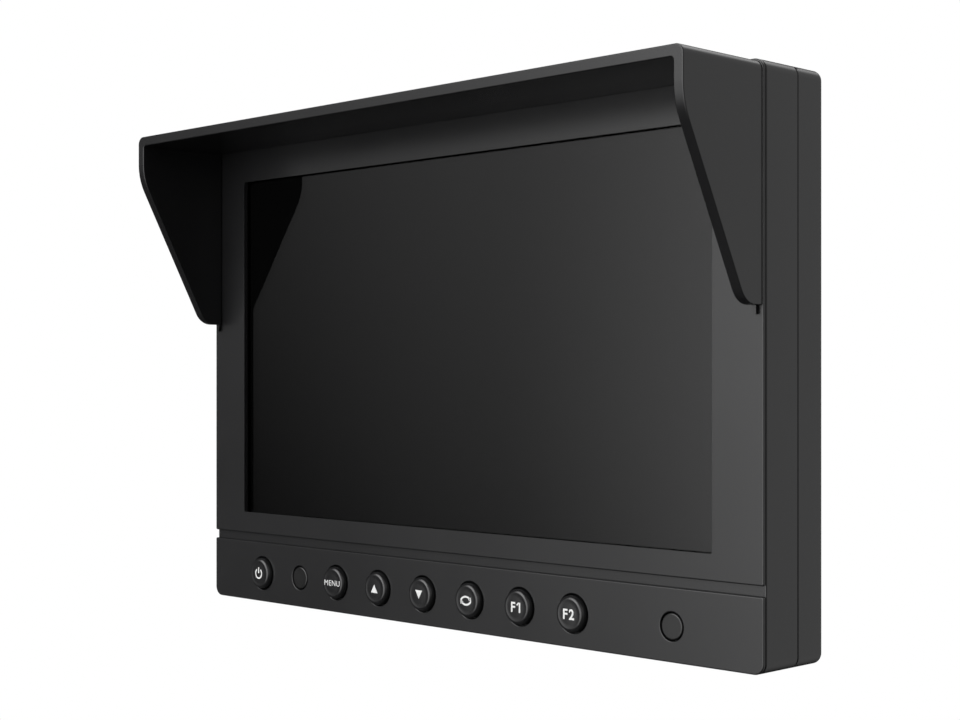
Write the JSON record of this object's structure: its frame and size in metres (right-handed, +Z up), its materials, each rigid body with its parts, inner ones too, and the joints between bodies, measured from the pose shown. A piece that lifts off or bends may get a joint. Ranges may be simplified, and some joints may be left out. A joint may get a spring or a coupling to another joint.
{
  "type": "vehicle lcd monitor",
  "caption": "Flat black vehicle monitor with a wide screen, a row of round push keys, a clip-on sun visor and a square rear bolt pattern.",
  "frame": {"origin": "middle of the square mounting pattern, on the rear face", "axes": "+X to the right seen from the front, +Y backwards out of the rear face, +Z up"},
  "size_m": [0.1814, 0.046, 0.1227],
  "materials": {
    "case_plastic": "black satin moulded plastic with a fine grain",
    "plate_plastic": "black satin plastic, nearly smooth",
    "visor_plastic": "black satin moulded plastic",
    "key_plastic": "black satin key plastic",
    "tinted_window": "dark tinted gloss plastic",
    "screen_glass": "clear polished cover glass",
    "display_cell": "dark switched-off display",
    "black_foam": "black foam gasket",
    "seal_rubber": "black silicone rubber",
    "black_screw": "blackened steel",
    "zinc_screw": "zinc-plated steel",
    "brass_insert": "turned brass",
    "contact_brass": "gold-plated brass",
    "clear_acrylic": "clear acrylic",
    "lamp_strip": "white lamp strip",
    "tray_steel": "pressed steel",
    "bracket_steel": "zinc-plated sheet steel",
    "circuit_board": "green circuit board",
    "chip_resin": "black resin",
    "coil_ferrite": "dark ferrite",
    "capacitor_can": "aluminium can",
    "socket_plastic": "black connector plastic",
    "ribbon_film": "amber film",
    "switch_plastic": "dark moulded plastic",
    "speaker_paper": "pressed paper cone",
    "magnet_steel": "plated magnet",
    "lead_jacket": "soft black jacket",
    "inlet_metal": "nickel-plated metal"
  },
  "bodies": {
    "monitor": {"front_case": "case_plastic", "rear_case": "case_plastic", "bezel_frame": "plate_plastic", "button_panel": "plate_plastic", "cover_glass": "screen_glass", "glass_gasket": "black_foam", "case_seal": "seal_rubber", "case_screws": "black_screw", "mount_inserts": "brass_insert", "lcd_cell": "display_cell", "light_guide": "clear_acrylic", "led_strip": "lamp_strip", "panel_tray": "tray_steel", "panel_bracket": "bracket_steel", "bracket_screws": "zinc_screw", "main_board": "circuit_board", "board_standoffs": "brass_insert", "board_screws": "zinc_screw", "video_chip": "chip_resin", "shield_can": "tray_steel", "power_coils": "coil_ferrite", "board_capacitors": "capacitor_can", "ribbon_sockets": "socket_plastic", "lcd_ribbon": "ribbon_film", "key_ribbon": "ribbon_film", "key_board": "circuit_board", "key_board_screws": "zinc_screw", "key_switches": "switch_plastic", "receiver_window": "tinted_window", "sensor_window": "tinted_window", "infrared_receiver": "chip_resin", "light_sensor": "chip_resin", "speaker_frame": "switch_plastic", "speaker_cone": "speaker_paper", "speaker_magnet": "magnet_steel", "speaker_membrane": "black_foam", "speaker_screws": "zinc_screw", "speaker_lead": "lead_jacket", "inlet_shell": "inlet_metal", "inlet_seal": "seal_rubber", "inlet_insert": "socket_plastic", "inlet_contacts": "contact_brass"},
    "visor": {"sun_visor": "visor_plastic"},
    "power_button": {"power_key": "key_plastic", "power_plunger": "switch_plastic"},
    "menu_button": {"menu_key": "key_plastic", "menu_plunger": "switch_plastic"},
    "up_button": {"up_key": "key_plastic", "up_plunger": "switch_plastic"},
    "down_button": {"down_key": "key_plastic", "down_plunger": "switch_plastic"},
    "source_button": {"source_key": "key_plastic", "source_plunger": "switch_plastic"},
    "first_button": {"first_key": "key_plastic", "first_plunger": "switch_plastic"},
    "second_button": {"second_key": "key_plastic", "second_plunger": "switch_plastic"}
  },
  "joints": [
    {"name": "visor_pull", "type": "slide", "parent": "monitor", "child": "visor", "axis": [0, -1, 0], "range_m": [0, 0.03]},
    {"name": "power_press", "type": "slide", "parent": "monitor", "child": "power_button", "axis": [0, 1, 0], "range_m": [0, 0.0005], "stiffness_N_per_m": 150, "springref_m": -0.004},
    {"name": "menu_press", "type": "slide", "parent": "monitor", "child": "menu_button", "axis": [0, 1, 0], "range_m": [0, 0.0005], "stiffness_N_per_m": 150, "springref_m": -0.004},
    {"name": "up_press", "type": "slide", "parent": "monitor", "child": "up_button", "axis": [0, 1, 0], "range_m": [0, 0.0005], "stiffness_N_per_m": 150, "springref_m": -0.004},
    {"name": "down_press", "type": "slide", "parent": "monitor", "child": "down_button", "axis": [0, 1, 0], "range_m": [0, 0.0005], "stiffness_N_per_m": 150, "springref_m": -0.004},
    {"name": "source_press", "type": "slide", "parent": "monitor", "child": "source_button", "axis": [0, 1, 0], "range_m": [0, 0.0005], "stiffness_N_per_m": 150, "springref_m": -0.004},
    {"name": "first_press", "type": "slide", "parent": "monitor", "child": "first_button", "axis": [0, 1, 0], "range_m": [0, 0.0005], "stiffness_N_per_m": 150, "springref_m": -0.004},
    {"name": "second_press", "type": "slide", "parent": "monitor", "child": "second_button", "axis": [0, 1, 0], "range_m": [0, 0.0005], "stiffness_N_per_m": 150, "springref_m": -0.004}
  ]
}
